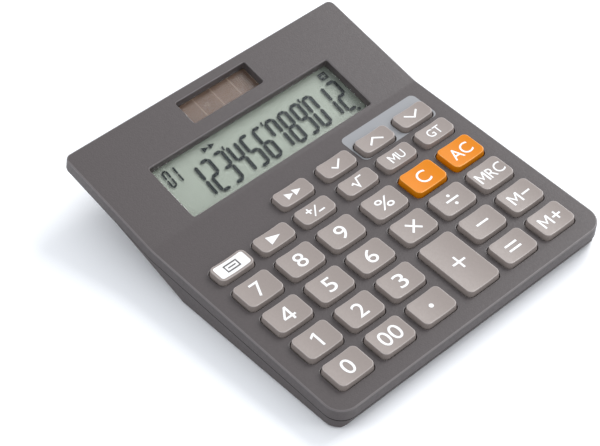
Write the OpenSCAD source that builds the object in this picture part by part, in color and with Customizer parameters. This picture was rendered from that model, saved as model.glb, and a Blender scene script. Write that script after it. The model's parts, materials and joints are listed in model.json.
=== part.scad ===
// Pocket calculator of the small desk type: twelve digits, solar and button cell,
// 33 separate keys in a bent two-part case.
//
// Three frames are used.
//   desk frame: Z up from the table, X to the right, Y towards the display, origin under the middle
//   pad frame:  (x, v, w), the keypad's top face is w = 0 and v runs back from its front edge
//   display frame: (x, s, n), the display's top face is n = 0 and s runs back from the bend

/* [Keypad] */
// Distance between key columns
pitch_x = 18.5; // [16:0.1:19]
// Extra gap between the third and fourth columns
split_gap = 1.5; // [0:0.1:2]
// Distance between the four main rows
pitch_v = 14; // [13.2:0.1:15]
// Width of a key's top
key_w = 14.4; // [12:0.1:14.6]
// Depth of a number key's top
key_d = 10.6; // [9:0.1:10.8]
// Depth of a function key's top
short_key_d = 7.4; // [6:0.1:7.6]
// Height of the keys above the case
key_rise = 2.2; // [2:0.1:3.2]
// How far a key's side leans out from top to bottom
key_flare = 0.2; // [0.1:0.05:0.4]
// Corner radius of a key
key_r = 2; // [1:0.1:2.5]
// Travel of a pressed key
key_travel = 1.2; // [0.6:0.1:1.4]
// Gap between a key and its opening
key_gap = 0.35; // [0.3:0.05:0.4]

/* [Case] */
// Width of the case
case_w = 123.5; // [122:0.5:130]
// Length of the keypad face, from the front edge to the bend
pad_len = 91; // [90.8:0.1:96]
// Length of the display face, from the bend to the rear edge
display_len = 46.3; // [46:0.1:50]
// Tilt of the display face against the keypad face
display_tilt = 10.75; // [9:0.05:12]
// Tilt of the keypad face against the table
pad_tilt = 3; // [2:0.1:4]
// Height of the front edge of the case above the feet
front_h = 9; // [8.6:0.1:11]
// Height of the top case's outer wall
top_wall_h = 5; // [4.9:0.1:5.4]
// Thickness of the top case
top_t = 1.8; // [1.5:0.1:2]
// Thickness of the bottom case
bottom_t = 1.6; // [1.4:0.1:1.8]
// How far the bottom case is set in from the top case
bottom_inset = 0.5; // [0.3:0.1:1]
// Radius of the two front corners
front_r = 7; // [5:0.5:9]
// Radius of the two rear corners
rear_r = 2.5; // [2:0.5:4]

/* [Display] */
// Width of the display opening
lcd_w = 82.8; // [76:0.2:84]
// Height of the display opening
lcd_h = 24.2; // [20:0.1:24.4]
// Depth of the display opening below the face
lcd_depth = 3.9; // [3:0.1:4]
// Width of the solar cell's opening
solar_w = 32.2; // [26:0.2:36]
// Height of the solar cell's opening
solar_h = 10.8; // [8:0.1:11]
// Depth of the solar opening below the face
solar_depth = 3.8; // [2.4:0.1:3.8]

/* [Feet and battery] */
// Radius of a rubber foot
foot_r = 4.5; // [3:0.1:5]
// Height of the case above the table
foot_h = 0.8; // [0.5:0.1:0.9]
// Radius of the button cell
cell_r = 5.8; // [5.8]
// Height of the button cell
cell_h = 5.4; // [5.4]

/* [Hidden] */
ROUND = 48;       // sides of a round part
HULL_ROUND = 24;  // sides of the corners inside a hull
LONG = 400;       // longer than the part in any direction
HALF_W = case_w / 2;

// Places of the key rows along the keypad, from the front edge
FIRST_ROW_V = 12.2;
FUNCTION_ROW_GAP = 12.9;
TOP_ROW_GAP = 10.8;
function row_v(row) =
    row <= 3 ? FIRST_ROW_V + row * pitch_v
    : FIRST_ROW_V + 3 * pitch_v + FUNCTION_ROW_GAP + (row - 4) * TOP_ROW_GAP;
function column_x(column) = (column - 2.5) * pitch_x + sign(column - 2.5) * split_gap / 2;

// Key names by row from the front, and by column from the left; "" is a place with no key
LAYOUT = [
    ["key_0", "key_00", "key_point", "", "key_equals", "key_memory_plus"],
    ["key_1", "key_2", "key_3", "key_plus", "key_minus", "key_memory_minus"],
    ["key_4", "key_5", "key_6", "key_multiply", "key_divide", "key_memory_recall"],
    ["key_7", "key_8", "key_9", "key_percent", "key_clear", "key_all_clear"],
    ["key_display", "key_back", "key_sign", "key_root", "key_mark_up", "key_grand_total"],
    ["", "", "key_auto_review", "key_correct", "key_step_up", "key_step_down"]
];
// One entry for each key: name, column, row
KEYS = [for (row = [0:5]) for (column = [0:5])
    if (LAYOUT[row][column] != "") [LAYOUT[row][column], column, row]];

// A key's place and size; the plus key fills two rows
function is_tall(key) = key[0] == "key_plus";
function key_x(key) = column_x(key[1]);
function key_v(key) = row_v(key[2]) - (is_tall(key) ? pitch_v / 2 : 0);
function key_depth(key) = key[2] > 3 ? short_key_d : key_d + (is_tall(key) ? pitch_v : 0);

// Key parts below the face
FLANGE_OUT = 0.8;   // width of the stop flange beyond the key's side
FLANGE_T = 0.8;     // thickness of the flange
FLANGE_GAP = 0.2;   // gap between the flange and the case
KEY_WALL = 1.2;     // wall of the hollow key
BOSS_R = 2.2;       // radius of the boss that presses the dome
FLANGE_LOW = -top_t - FLANGE_GAP - FLANGE_T;

// Electronics stack under the keys
DOME_GAP = 0.1;
DOME_H = 1.7;
SHEET_T = 0.8;
BOARD_T = 1.2;
DOME_TOP = FLANGE_LOW - DOME_GAP;
SHEET_TOP = DOME_TOP - DOME_H;
BOARD_TOP = SHEET_TOP - SHEET_T;
BOARD_LOW = BOARD_TOP - BOARD_T;
BOARD_FRONT_V = 4;
BOARD_REAR_V = 86;
BOARD_HALF_W = 59;
SHEET_HALF_W = 54.5;
SHEET_REAR_V = 84;

// Places of the screws
SCREW_R = 1;
SCREW_HEAD_R = 1.9;
SCREW_HEAD_H = 1.2;
POST_R = 1.8;
TUBE_R = 2.9;
SIDE_SCREW_X = 57.2;
SIDE_SCREW_V = 32;
REAR_SCREW_X = 53;
REAR_SCREW_S = 38;
BOARD_SCREW_X = 57.6;
BOARD_SCREW_V = [18.5, 46.5, 82.5];
TIGHT = 0.02; // gap round a screw's thread

// Height levels of the bottom case
FLOOR_TOP = foot_h + bottom_t;
SLOPE_FRONT_V = 76;  // where the flat underside turns up towards the display
SLOPE_REAR_S = 18.6; // where it meets the thin rear part
LIP_T = 1.1;         // thickness of the thin rear part
POD_HALF_W = 48;     // half width of the rear stand
POD_FRONT_V = 70;
POD_REAR_V = 129;
POD_TOP_REAR_S = 41;
BEND_BELOW = tan(display_tilt / 2);

// Display parts
LCD_S = 13.8;    // middle of the display opening
SOLAR_S = 36.9;  // middle of the solar opening
RIB_T = 1.2;
WINDOW_R = 0.8; // corner radius of both openings
PANE_T = 0.6;
PANE_SIDE_GAP = 0.1; // round a pane, inside its opening
PANE_GAP = 0.05;     // between a pane and the part behind it
LCD_SHEET_T = 1.1;
SOLAR_CELL_T = 0.9;

// Battery place in the desk frame
BATTERY_X = 0;
BATTERY_V = 114;
DOOR_W = 27;
DOOR_D = 18;
DOOR_T = 1.1;
DOOR_SHIFT = 4.5; // the door is longer on the side of its screw
DOOR_GAP = 0.15;
PAD_T = 1.2;      // extra floor thickness round the door
CELL_GAP = 0.25;
CONTACT_T = 0.3;

// Frames: the pad frame's origin in the desk frame puts the middle of the case over the origin
TOTAL_Y = pad_len * cos(pad_tilt) + display_len * cos(pad_tilt + display_tilt)
    + top_wall_h * sin(pad_tilt + display_tilt);
PAD_Y = -TOTAL_Y / 2;
PAD_Z = foot_h + front_h * cos(pad_tilt);
function pad(v, w) = [PAD_Y + v * cos(pad_tilt) - w * sin(pad_tilt),
                      PAD_Z + v * sin(pad_tilt) + w * cos(pad_tilt)];
function disp(s, n) = pad(pad_len + s * cos(display_tilt) - n * sin(display_tilt),
                          s * sin(display_tilt) + n * cos(display_tilt));

// Moves children from the pad frame to the desk frame
module in_pad() {
    translate([0, PAD_Y, PAD_Z])
        rotate([pad_tilt, 0, 0])
            children();
}

// Moves children from the display frame to the desk frame
module in_display() {
    in_pad()
        translate([0, pad_len, 0])
            rotate([display_tilt, 0, 0])
                children();
}

// A side profile, given as desk frame [y, z] points, drawn out across the width
module across(width, points) {
    translate([-width / 2, 0, 0])
        rotate([90, 0, 90])
            linear_extrude(width)
                polygon(points);
}

// A rectangle with round corners, centred on the origin
module rounded(w, d, r, sides = ROUND) {
    square([w - 2 * r, d], center = true);
    square([w, d - 2 * r], center = true);
    for (x = [-1, 1], y = [-1, 1])
        translate([x * (w / 2 - r), y * (d / 2 - r)])
            circle(r = r, $fn = sides);
}

// A flat rounded plate from height low to height high
module slab(w, d, r, low, high, sides = ROUND) {
    translate([0, 0, low])
        linear_extrude(high - low)
            rounded(w, d, r, sides);
}

// The case's outline seen from above, in the pad frame, set in by inset
module plan(inset) {
    front = front_r - inset;
    rear = max(rear_r - inset, 0.5);
    half = HALF_W - inset;
    last = TOTAL_Y + 5 - inset;
    in_pad()
        translate([0, 0, -LONG / 4])
            linear_extrude(LONG / 2) {
                translate([-half, front_r])
                    square([2 * half, last - front_r - rear_r]);
                translate([-half + front, inset])
                    square([2 * (half - front), front_r]);
                translate([-half + rear, last - rear_r - 1])
                    square([2 * (half - rear), rear_r + 1]);
                for (side = [-1, 1])
                    translate([side * (half - front), front_r])
                        circle(r = front, $fn = ROUND);
            }
}

// The two rear corners of the case, cut round in the display frame
module rear_corners(inset) {
    r = rear_r - inset;
    last = display_len - inset;
    half = HALF_W - inset;
    in_display()
        for (side = [-1, 1])
            translate([side * half, last, 0])
                difference() {
                    cube([2 * r, 2 * r, LONG / 4], center = true);
                    translate([-side * r, -r, 0])
                        cylinder(r = r, h = LONG, center = true, $fn = ROUND);
                }
}

// Moves children to a key's place on the keypad face
module at_key(key) {
    in_pad()
        translate([key_x(key), key_v(key), 0])
            children();
}

// ---- moulded case parts ----

TOP_OUTER = [
    pad(0, 0), pad(pad_len, 0), disp(display_len, 0), disp(display_len, -top_wall_h),
    pad(pad_len + top_wall_h * BEND_BELOW, -top_wall_h), pad(0, -top_wall_h)
];
TOP_INNER = [
    pad(top_t, -top_t), pad(pad_len + top_t * BEND_BELOW, -top_t),
    disp(display_len - top_t, -top_t), disp(display_len - top_t, -2 * top_wall_h),
    pad(pad_len, -2 * top_wall_h), pad(top_t, -2 * top_wall_h)
];

module key_openings() {
    for (key = KEYS)
        at_key(key)
            slab(key_w + 2 * key_flare + 2 * key_gap, key_depth(key) + 2 * key_flare + 2 * key_gap,
                 key_r + key_gap, -2 * top_t, top_t);
}

// The wall that runs down round a window opening
module window_rib(w, h, depth) {
    difference() {
        slab(w + 2 * RIB_T, h + 2 * RIB_T, 1, -depth, -top_t + 0.1);
        slab(w, h, WINDOW_R, -2 * depth, 1);
    }
}

// The plain bent shell of the top case, before its openings and posts
module case_shell() {
    difference() {
        intersection() {
            across(case_w, TOP_OUTER);
            plan(0);
        }
        intersection() {
            across(case_w - 2 * top_t, TOP_INNER);
            plan(top_t);
        }
        rear_corners(0);
    }
}

// All space in front of the bend (way = -1) or behind it (way = 1)
module bend_side(way) {
    in_pad()
        translate([0, pad_len, 0])
            rotate([display_tilt / 2, 0, 0])
                translate([0, way * LONG / 2, 0])
                    cube(LONG, center = true);
}

// The top case is one moulding, held as two nodes that meet at the bend
module top_case_keypad() {
    color("dimgray")
    difference() {
        union() {
            intersection() {
                case_shell();
                bend_side(-1);
            }
            in_pad()
                for (side = [-1, 1]) {
                    for (v = BOARD_SCREW_V)
                        translate([side * BOARD_SCREW_X, v, BOARD_TOP])
                            cylinder(r = POST_R, h = -BOARD_TOP - top_t + 0.1, $fn = ROUND);
                    translate([side * SIDE_SCREW_X, SIDE_SCREW_V, BOARD_LOW - 0.4])
                        cylinder(r = POST_R, h = -BOARD_LOW + 0.5 - top_t, $fn = ROUND);
                }
        }
        key_openings();
        in_pad()
            translate([label_x(), label_v(), 0])
                slab(label_w(), LABEL_D, LABEL_R, -LABEL_T, LABEL_T);
        screw_threads();
    }
}

module top_case_display() {
    color("dimgray")
    difference() {
        union() {
            intersection() {
                case_shell();
                bend_side(1);
            }
            in_display() {
                translate([0, LCD_S, 0])
                    window_rib(lcd_w, lcd_h, lcd_depth);
                translate([0, SOLAR_S, 0])
                    window_rib(solar_w, solar_h, solar_depth);
                for (side = [-1, 1])
                    translate([side * REAR_SCREW_X, REAR_SCREW_S, -top_wall_h + 0.9])
                        cylinder(r = POST_R, h = top_wall_h - top_t, $fn = ROUND);
            }
        }
        in_display() {
            translate([0, LCD_S, 0])
                slab(lcd_w, lcd_h, WINDOW_R, -top_t - 1, 1);
            translate([0, SOLAR_S, 0])
                slab(solar_w, solar_h, WINDOW_R, -top_t - 1, 1);
        }
        screw_threads();
    }
}

// Side profiles of the bottom case: its outside, the space inside, and the stand at the rear
BOTTOM_OUTER = [
    pad(bottom_inset, -top_wall_h), [pad(bottom_inset, 0)[0] + 1, foot_h + 1],
    [pad(bottom_inset, 0)[0] + 2, foot_h], [pad(SLOPE_FRONT_V, 0)[0], foot_h],
    disp(SLOPE_REAR_S, -top_wall_h - LIP_T),
    disp(display_len - bottom_inset, -top_wall_h - LIP_T),
    disp(display_len - bottom_inset, -top_wall_h),
    pad(pad_len + top_wall_h * BEND_BELOW, -top_wall_h)
];
BOTTOM_INNER = [
    pad(bottom_inset + bottom_t, 1), [pad(bottom_inset + bottom_t, 0)[0] + 1, FLOOR_TOP],
    [pad(SLOPE_FRONT_V, 0)[0], FLOOR_TOP],
    disp(SLOPE_REAR_S - bottom_t, -top_wall_h), disp(SLOPE_REAR_S - bottom_t, 1)
];
POD_OUTER = [
    [pad(POD_FRONT_V, 0)[0], foot_h], [pad(POD_REAR_V, 0)[0] - 1, foot_h],
    [pad(POD_REAR_V, 0)[0], foot_h + 1], disp(POD_TOP_REAR_S, -top_wall_h),
    pad(pad_len + top_wall_h * BEND_BELOW, -top_wall_h), pad(POD_FRONT_V, -top_wall_h)
];
POD_INNER = [
    [pad(POD_FRONT_V, 0)[0] - bottom_t, FLOOR_TOP], [pad(POD_REAR_V, 0)[0] - bottom_t - 0.5, FLOOR_TOP],
    disp(POD_TOP_REAR_S - bottom_t, -top_wall_h), disp(POD_TOP_REAR_S - bottom_t, 1),
    pad(POD_FRONT_V, 1)
];

module bottom_case() {
    color("gray")
    difference() {
        union() {
            difference() {
                union() {
                    intersection() {
                        across(case_w - 2 * bottom_inset, BOTTOM_OUTER);
                        plan(bottom_inset);
                    }
                    across(2 * POD_HALF_W, POD_OUTER);
                }
                intersection() {
                    across(case_w - 2 * bottom_inset - 2 * bottom_t, BOTTOM_INNER);
                    plan(bottom_inset + bottom_t);
                }
                across(2 * (POD_HALF_W - bottom_t), POD_INNER);
                rear_corners(bottom_inset);
            }
            // tubes for the case screws, trimmed to the space inside the case
            in_pad()
                for (side = [-1, 1])
                    translate([side * SIDE_SCREW_X, SIDE_SCREW_V, TUBE_LOW])
                        cylinder(r = TUBE_R, h = BOARD_LOW - 0.5 - TUBE_LOW, $fn = ROUND);
            in_display()
                for (side = [-1, 1])
                    translate([side * REAR_SCREW_X, REAR_SCREW_S, -top_wall_h - LIP_T / 2])
                        cylinder(r = TUBE_R, h = LIP_T / 2 + 0.8, $fn = ROUND);
            // thick floor and round wall for the button cell
            translate([BATTERY_X, pad(BATTERY_V, 0)[0], 0]) {
                translate([DOOR_SHIFT, 0, 0])
                    slab(DOOR_W + 3, DOOR_D + 3, 2, foot_h + bottom_t / 2, FLOOR_TOP + PAD_T);
                translate([0, 0, foot_h + bottom_t / 2])
                    cylinder(r = cell_r + CELL_GAP + 1.2, h = cell_h + 0.6, $fn = ROUND);
            }
        }
        screw_threads();
        case_screw_heads();
        for (place = FEET)
            translate([place[0], place[1], 0])
                cylinder(r = foot_r + 0.05, h = 2 * foot_h, $fn = ROUND);
        translate([BATTERY_X, pad(BATTERY_V, 0)[0], 0]) {
            cylinder(r = cell_r + CELL_GAP, h = LONG / 4, $fn = ROUND);
            translate([DOOR_SHIFT, 0, 0])
                slab(DOOR_W + 2 * DOOR_GAP, DOOR_D + 2 * DOOR_GAP, 1.5, 0, foot_h + DOOR_T + 0.1);
            translate([DOOR_SCREW_DX, 0, 0])
                cylinder(r = SCREW_R + TIGHT, h = FLOOR_TOP + PAD_T - 0.4, $fn = ROUND);
        }
    }
}

// ---- display parts ----

module display_window() {
    color([0.8, 0.85, 0.85, 0.4])
    in_display()
        translate([0, LCD_S, 0])
            slab(lcd_w - 2 * PANE_SIDE_GAP, lcd_h - 2 * PANE_SIDE_GAP, WINDOW_R - PANE_SIDE_GAP,
                 -lcd_depth, -lcd_depth + PANE_T);
}

LCD_HALF_W = 43;
LCD_FRONT_TOP = -lcd_depth - PANE_GAP;
LCD_LOW = LCD_FRONT_TOP - 2 * LCD_SHEET_T;
LCD_HALF_H = 13.4;
LEDGE = 2.8; // strip of the front sheet that stands out for the connector

module lcd_front_glass() {
    color("darkseagreen")
    in_display()
        translate([-LCD_HALF_W, LCD_S - LCD_HALF_H, LCD_FRONT_TOP - LCD_SHEET_T])
            cube([2 * LCD_HALF_W, 2 * LCD_HALF_H, LCD_SHEET_T]);
}

module lcd_rear_glass() {
    color("darkolivegreen")
    in_display()
        translate([-LCD_HALF_W, LCD_S - LCD_HALF_H + LEDGE, LCD_LOW])
            cube([2 * LCD_HALF_W, 2 * LCD_HALF_H - LEDGE, LCD_SHEET_T]);
}

HOLDER_T = 1;
HOLDER_D = 22.6;
module lcd_holder() {
    color("lightgray")
    in_display() {
        translate([-LCD_HALF_W - 1.6, LCD_S - 9, LCD_LOW - HOLDER_T - 0.1])
            cube([2 * LCD_HALF_W + 3.2, HOLDER_D, HOLDER_T]);
        for (side = [-1, 1])
            translate([side * (LCD_HALF_W + 1) - 0.6, LCD_S - 9, LCD_LOW - HOLDER_T - 0.1])
                cube([1.2, HOLDER_D, -LCD_LOW + HOLDER_T + 0.1 - top_t]);
    }
}

CONNECTOR_T = 0.2;
module lcd_connector() {
    color("saddlebrown")
    across(70, [
        pad(80, BOARD_LOW), pad(86.6, BOARD_LOW), disp(1, LCD_FRONT_TOP - LCD_SHEET_T),
        disp(2.8, LCD_FRONT_TOP - LCD_SHEET_T), disp(2.8, LCD_FRONT_TOP - LCD_SHEET_T - CONNECTOR_T),
        disp(1, LCD_FRONT_TOP - LCD_SHEET_T - CONNECTOR_T), pad(86.6, BOARD_LOW - CONNECTOR_T),
        pad(80, BOARD_LOW - CONNECTOR_T)
    ]);
}

module solar_window() {
    color([0.8, 0.85, 0.85, 0.4])
    in_display()
        translate([0, SOLAR_S, 0])
            slab(solar_w - 2 * PANE_SIDE_GAP, solar_h - 2 * PANE_SIDE_GAP, WINDOW_R - PANE_SIDE_GAP,
                 -solar_depth, -solar_depth + PANE_T);
}

SOLAR_TOP = -solar_depth - PANE_GAP;
module solar_cell() {
    color("sienna")
    in_display()
        translate([-solar_w / 2 - 0.5, SOLAR_S - solar_h / 2 - 0.5, SOLAR_TOP - SOLAR_CELL_T])
            cube([solar_w + 1, solar_h + 1, SOLAR_CELL_T]);
}

LEAD_R = 0.45;
// A wire in straight stretches that run into each other at the bends
module wire(points) {
    for (i = [0:len(points) - 2]) {
        step = points[i + 1] - points[i];
        translate(points[i])
            rotate([0, acos(step[2] / norm(step)), atan2(step[1], step[0])])
                translate([0, 0, i > 0 ? -LEAD_R / 2 : 0])
                    cylinder(r = LEAD_R, h = norm(step) + (i > 0 ? LEAD_R / 2 : 0), $fn = 16);
    }
}

// A point in the desk frame from a width and a [y, z] pair
function at(x, yz) = [x, yz[0], yz[1]];

SOLAR_LEAD_X = 15;    // where the leads leave the cell
BOARD_LEAD_X = 40;    // where they meet the board
UNDER_HOLDER = LCD_LOW - HOLDER_T - 1;
module solar_leads() {
    color("firebrick")
    for (side = [-1, 1])
        wire([
            at(side * SOLAR_LEAD_X, disp(SOLAR_S - 4.6, SOLAR_TOP - SOLAR_CELL_T - LEAD_R)),
            at(side * SOLAR_LEAD_X, disp(SOLAR_S - 7.6, UNDER_HOLDER)),
            at(side * BOARD_LEAD_X, disp(6, UNDER_HOLDER)),
            at(side * BOARD_LEAD_X, pad(BOARD_REAR_V - 2, BOARD_LOW - LEAD_R))
        ]);
}

// ---- keypad parts ----

LABEL_T = 0.2;
LABEL_D = 13.5;
LABEL_R = 2.2;
LABEL_SIDE = 1.45; // how far the label runs past the outer keys
function label_x() = (column_x(4) + column_x(5)) / 2;
function label_w() = pitch_x + key_w + 2 * LABEL_SIDE;
function label_v() = row_v(5) - short_key_d / 2 - 0.9 + LABEL_D / 2;

module step_label() {
    color("lightsteelblue")
    difference() {
        in_pad()
            translate([label_x(), label_v(), 0])
                slab(label_w() - 0.1, LABEL_D - 0.1, LABEL_R, -LABEL_T, 0);
        key_openings();
    }
}

// A hollow key cap: leaning sides, an eased top edge, a stop flange and a boss for the dome
module key_cap(key) {
    w = key_w;
    d = key_depth(key);
    neck_w = w + 2 * key_flare;
    neck_d = d + 2 * key_flare;
    ease = 0.4;
    skirt_top = -0.2;
    at_key(key) {
        difference() {
            union() {
                hull() {
                    slab(neck_w, neck_d, key_r, skirt_top, skirt_top + 0.05, HULL_ROUND);
                    slab(w + 0.1, d + 0.1, key_r, key_rise - ease, key_rise - ease + 0.02, HULL_ROUND);
                    slab(w - ease, d - ease, key_r, key_rise - 0.02, key_rise, HULL_ROUND);
                }
                slab(neck_w, neck_d, key_r, FLANGE_LOW, skirt_top + 0.01, HULL_ROUND);
                slab(neck_w + 2 * FLANGE_OUT, neck_d + 2 * FLANGE_OUT, key_r + FLANGE_OUT,
                     FLANGE_LOW, FLANGE_LOW + FLANGE_T);
            }
            slab(w - 2 * KEY_WALL, d - 2 * KEY_WALL, 0.8, FLANGE_LOW - 1, key_rise - KEY_WALL);
        }
        translate([0, 0, FLANGE_LOW])
            cylinder(r = BOSS_R, h = key_rise - KEY_WALL - FLANGE_LOW + 0.1, $fn = ROUND);
    }
}

// Key colours: two orange clear keys, the rest warm grey
module draw_key(key) {
    name = key[0];
    color(name == "key_clear" || name == "key_all_clear" ? "darkorange" : "darkgray")
        key_cap(key);
}

// The rubber sheet with one dome under each key
module key_membrane() {
    color("silver")
    difference() {
        in_pad() {
            translate([0, (BOARD_FRONT_V + SHEET_REAR_V) / 2, 0])
                slab(2 * SHEET_HALF_W, SHEET_REAR_V - BOARD_FRONT_V - 1, 2, BOARD_TOP, SHEET_TOP);
            for (key = KEYS)
                translate([key_x(key), key_v(key), SHEET_TOP - 0.1])
                    cylinder(r1 = 3.4, r2 = 2.2, h = DOME_H + 0.1, $fn = ROUND);
        }
        // the hollow under each dome
        in_pad()
            for (key = KEYS)
                translate([key_x(key), key_v(key), BOARD_TOP - 0.1])
                    cylinder(r1 = 2.9, r2 = 1.6, h = SHEET_T + DOME_H - 0.7, $fn = ROUND);
    }
}

module main_board() {
    color("darkgreen")
    in_pad()
        difference() {
            translate([0, (BOARD_FRONT_V + BOARD_REAR_V) / 2, 0])
                slab(2 * BOARD_HALF_W, BOARD_REAR_V - BOARD_FRONT_V, 5, BOARD_LOW, BOARD_TOP);
            for (side = [-1, 1]) {
                for (v = BOARD_SCREW_V)
                    translate([side * BOARD_SCREW_X, v, BOARD_LOW - 1])
                        cylinder(r = SCREW_R * 0.8 + 0.1, h = BOARD_T + 2, $fn = ROUND);
                translate([side * SIDE_SCREW_X, SIDE_SCREW_V, BOARD_LOW - 1])
                    cylinder(r = POST_R + 0.5, h = BOARD_T + 2, $fn = ROUND);
            }
        }
}

module chip_cover() {
    color("black")
    in_pad()
        translate([0, 62, BOARD_LOW - 1])
            cylinder(r1 = 5, r2 = 7, h = 1, $fn = ROUND);
}

module capacitor() {
    color("midnightblue")
    in_pad()
        translate([-30, 66, BOARD_LOW - 2])
            rotate([0, 90, 0])
                cylinder(r = 2, h = 7, center = true, $fn = ROUND);
}

// ---- battery parts ----

module at_battery() {
    translate([BATTERY_X, pad(BATTERY_V, 0)[0], 0])
        children();
}

CELL_LIFT = 0.2; // space for the contact under the cell
CELL_LOW = foot_h + DOOR_T + CELL_LIFT;
module battery_cell() {
    color("silver")
    at_battery() {
        translate([0, 0, CELL_LOW])
            cylinder(r = cell_r, h = cell_h - 0.4, $fn = ROUND);
        translate([0, 0, CELL_LOW + cell_h - 0.5])
            cylinder(r = cell_r - 1.2, h = 0.5, $fn = ROUND);
    }
}

// A flat spring strip over the top of the cell
module battery_contact_minus() {
    color("gold")
    at_battery()
        translate([-3, -2, CELL_LOW + cell_h + 0.1])
            cube([14, 4, CONTACT_T]);
}

// A flat round spring between the door and the cell
PLUS_T = CELL_LIFT - 0.1;
module battery_contact_plus() {
    color("gold")
    at_battery()
        translate([0, 0, foot_h + DOOR_T + 0.05])
            cylinder(r = 4, h = PLUS_T, $fn = ROUND);
}

BATTERY_LEAD_X = [9, 11];
BATTERY_LEAD_BEND_V = 97;
BATTERY_LEAD_END_V = 78; // past the display's connector, which they run under
module battery_leads() {
    color("black")
    for (x = BATTERY_LEAD_X)
        wire([
            at(x, [pad(BATTERY_V, 0)[0] - 3, CELL_LOW + cell_h - 2]),
            at(x, [pad(BATTERY_LEAD_BEND_V, 0)[0], FLOOR_TOP + 2.4]),
            at(x, pad(BATTERY_LEAD_END_V, BOARD_LOW - LEAD_R))
        ]);
}

DOOR_SCREW_DX = 14.5;
DOOR_SCREW_L = 2.1; // stops short of the end of its hole
module battery_door() {
    color("gray")
    at_battery()
        difference() {
            translate([DOOR_SHIFT, 0, 0])
                slab(DOOR_W, DOOR_D, 1.4, foot_h, foot_h + DOOR_T);
            translate([DOOR_SCREW_DX, 0, 0]) {
                cylinder(r = SCREW_R + 0.15, h = LONG / 4, $fn = ROUND);
                cylinder(r = SCREW_HEAD_R - 0.1, h = foot_h + 0.6, $fn = ROUND);
            }
        }
}

module battery_door_screw() {
    color("silver")
    at_battery()
        translate([DOOR_SCREW_DX, 0, foot_h + 0.1]) {
            difference() {
                cylinder(r = SCREW_HEAD_R - 0.2, h = 0.5, $fn = ROUND);
                cross_slot(0.25);
            }
            cylinder(r = SCREW_R, h = DOOR_SCREW_L, $fn = ROUND);
        }
}

// ---- fasteners and feet ----

// The cross in a screw head, cut from z = 0 upwards
module cross_slot(depth) {
    for (turn = [0, 90])
        rotate([0, 0, turn])
            translate([-0.9, -0.2, -1])
                cube([1.8, 0.4, 1 + depth]);
}

// One screw with its head's underside up and its thread pointing up
module screw(length, r, head_r, head_h) {
    difference() {
        cylinder(r = head_r, h = head_h, $fn = ROUND);
        cross_slot(head_h * 0.6);
    }
    translate([0, 0, head_h - 0.1])
        cylinder(r = r, h = length + 0.1, $fn = ROUND);
}

SIDE_HEAD_LOW = -10.2; // underside of the side screws' heads, in the pad frame
TUBE_LOW = -10;
REAR_HEAD_LOW = -top_wall_h - LIP_T + 0.1;
SIDE_SCREW_L = 5.4;
REAR_SCREW_L = 2.7;

module case_screws() {
    color("silver") {
        in_pad()
            for (side = [-1, 1])
                translate([side * SIDE_SCREW_X, SIDE_SCREW_V, SIDE_HEAD_LOW])
                    screw(SIDE_SCREW_L, SCREW_R, SCREW_HEAD_R, SCREW_HEAD_H);
        in_display()
            for (side = [-1, 1])
                translate([side * REAR_SCREW_X, REAR_SCREW_S, REAR_HEAD_LOW])
                    screw(REAR_SCREW_L, SCREW_R, SCREW_HEAD_R, SCREW_HEAD_H);
    }
}

// Space for the case screws' heads in the bottom case
module case_screw_heads() {
    in_pad()
        for (side = [-1, 1])
            translate([side * SIDE_SCREW_X, SIDE_SCREW_V, SIDE_HEAD_LOW - LONG / 4 + SCREW_HEAD_H])
                cylinder(r = SCREW_HEAD_R + 0.2, h = LONG / 4, $fn = ROUND);
    in_display()
        for (side = [-1, 1])
            translate([side * REAR_SCREW_X, REAR_SCREW_S, REAR_HEAD_LOW - LONG / 4 + SCREW_HEAD_H])
                cylinder(r = SCREW_HEAD_R + 0.2, h = LONG / 4, $fn = ROUND);
}

// Holes for the screws' threads, in both halves of the case
module screw_threads() {
    in_pad()
        for (side = [-1, 1]) {
            translate([side * SIDE_SCREW_X, SIDE_SCREW_V, SIDE_HEAD_LOW])
                cylinder(r = SCREW_R + TIGHT, h = SCREW_HEAD_H + SIDE_SCREW_L + 0.2, $fn = ROUND);
            for (v = BOARD_SCREW_V)
                translate([side * BOARD_SCREW_X, v, BOARD_TOP - 0.1])
                    cylinder(r = SCREW_R * 0.8 + TIGHT, h = 2.4, $fn = ROUND);
        }
    in_display()
        for (side = [-1, 1])
            translate([side * REAR_SCREW_X, REAR_SCREW_S, REAR_HEAD_LOW])
                cylinder(r = SCREW_R + TIGHT, h = SCREW_HEAD_H + REAR_SCREW_L + 0.2, $fn = ROUND);
}

module board_screws() {
    color("silver")
    in_pad()
        for (side = [-1, 1], v = BOARD_SCREW_V)
            translate([side * BOARD_SCREW_X, v, BOARD_LOW - 0.7])
                screw(BOARD_T + 2, SCREW_R * 0.8, SCREW_HEAD_R * 0.75, 0.7);
}

// Two feet under the front of the keypad and two under the rear stand
FEET = [
    [-48, pad(11, 0)[0]], [48, pad(11, 0)[0]], [-38, pad(121, 0)[0]], [38, pad(121, 0)[0]]
];
module rubber_feet() {
    color("black")
    for (place = FEET)
        translate([place[0], place[1], 0])
            cylinder(r = foot_r, h = 2 * foot_h, $fn = ROUND);
}

top_case_keypad();
top_case_display();
bottom_case();
display_window();
lcd_front_glass();
lcd_rear_glass();
lcd_holder();
lcd_connector();
solar_window();
solar_cell();
solar_leads();
step_label();
key_membrane();
main_board();
chip_cover();
capacitor();
battery_cell();
battery_contact_plus();
battery_contact_minus();
battery_leads();
battery_door();
battery_door_screw();
case_screws();
board_screws();
rubber_feet();
for (key = KEYS)
    draw_key(key);
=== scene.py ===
# %% [markdown]
# # A pocket calculator built round its working frame
# The working parts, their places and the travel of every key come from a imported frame.
# This lesson makes what the eye sees: the moulded case, the dished keys, their printed
# marks, the display and the light. Everything is in metres in the frame's own axes, so
# a piece is made where it belongs and nothing is fitted afterwards.

# %% Load the frame
import json
import math
import bmesh
import bpy
from mathutils import Matrix, Vector


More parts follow.
